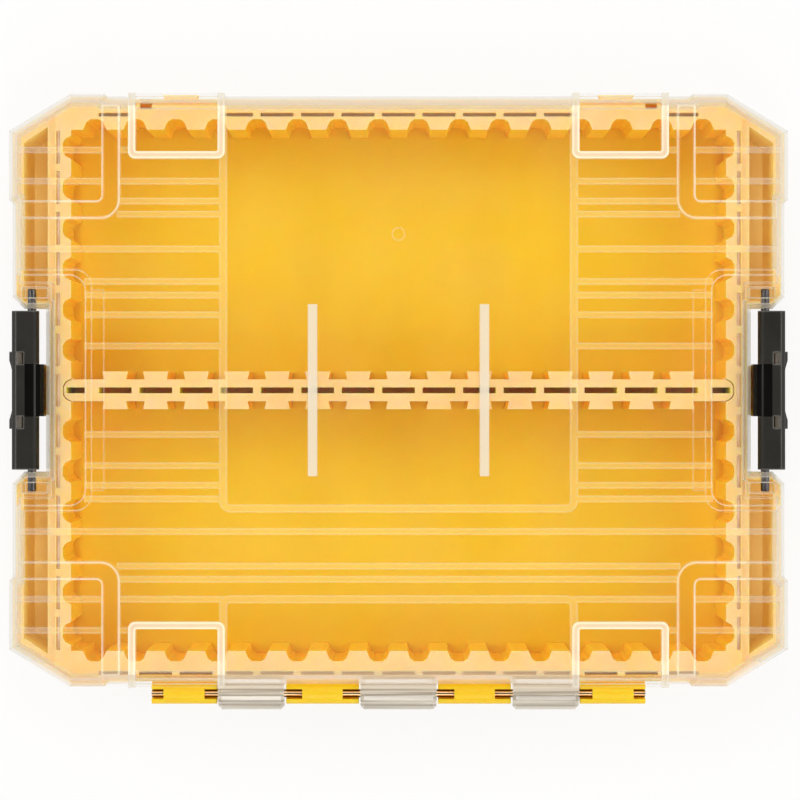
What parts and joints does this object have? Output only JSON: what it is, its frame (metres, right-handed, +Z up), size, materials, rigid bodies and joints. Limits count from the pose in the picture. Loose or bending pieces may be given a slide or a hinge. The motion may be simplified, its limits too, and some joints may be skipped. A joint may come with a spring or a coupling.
{
  "type": "bit storage case",
  "caption": "Shallow rectangular storage case with a clear hinged lid, a yellow tray with toothed walls, a lengthwise toothed divider and a black latch at each end.",
  "frame": {"origin": "centre of the flat underside of the tray, between the two latches and between the front and back walls", "axes": "+X along the case to the right latch, +Y to the front edge that opens, +Z up; the hinge is at -Y"},
  "size_m": [0.2886, 0.2283, 0.057],
  "materials": {
    "tray_plastic": "satin moulded yellow plastic",
    "clear_plastic": "clear polished plastic",
    "latch_plastic": "black moulded plastic",
    "pin_steel": "drawn steel rod",
    "dark_steel": "blackened steel rod"
  },
  "bodies": {
    "tray": {"base_tray": "tray_plastic", "centre_rail": "tray_plastic", "hinge_pin": "pin_steel"},
    "lid": {"lid": "clear_plastic", "latch_pin_left": "dark_steel", "latch_pin_right": "dark_steel"},
    "latch_left": {"latch_left": "latch_plastic"},
    "latch_right": {"latch_right": "latch_plastic"}
  },
  "joints": [
    {"name": "lid_hinge", "type": "hinge", "parent": "tray", "child": "lid", "pos_m": [0, -0.1126, 0.038], "axis": [1, 0, 0], "range_deg": [0, 180]},
    {"name": "left_latch_pivot", "type": "hinge", "parent": "lid", "child": "latch_left", "pos_m": [-0.1354, 0, 0.045], "axis": [0, 1, 0], "range_deg": [0, 115]},
    {"name": "right_latch_pivot", "type": "hinge", "parent": "lid", "child": "latch_right", "pos_m": [0.1354, 0, 0.045], "axis": [0, -1, 0], "range_deg": [0, 115]}
  ]
}
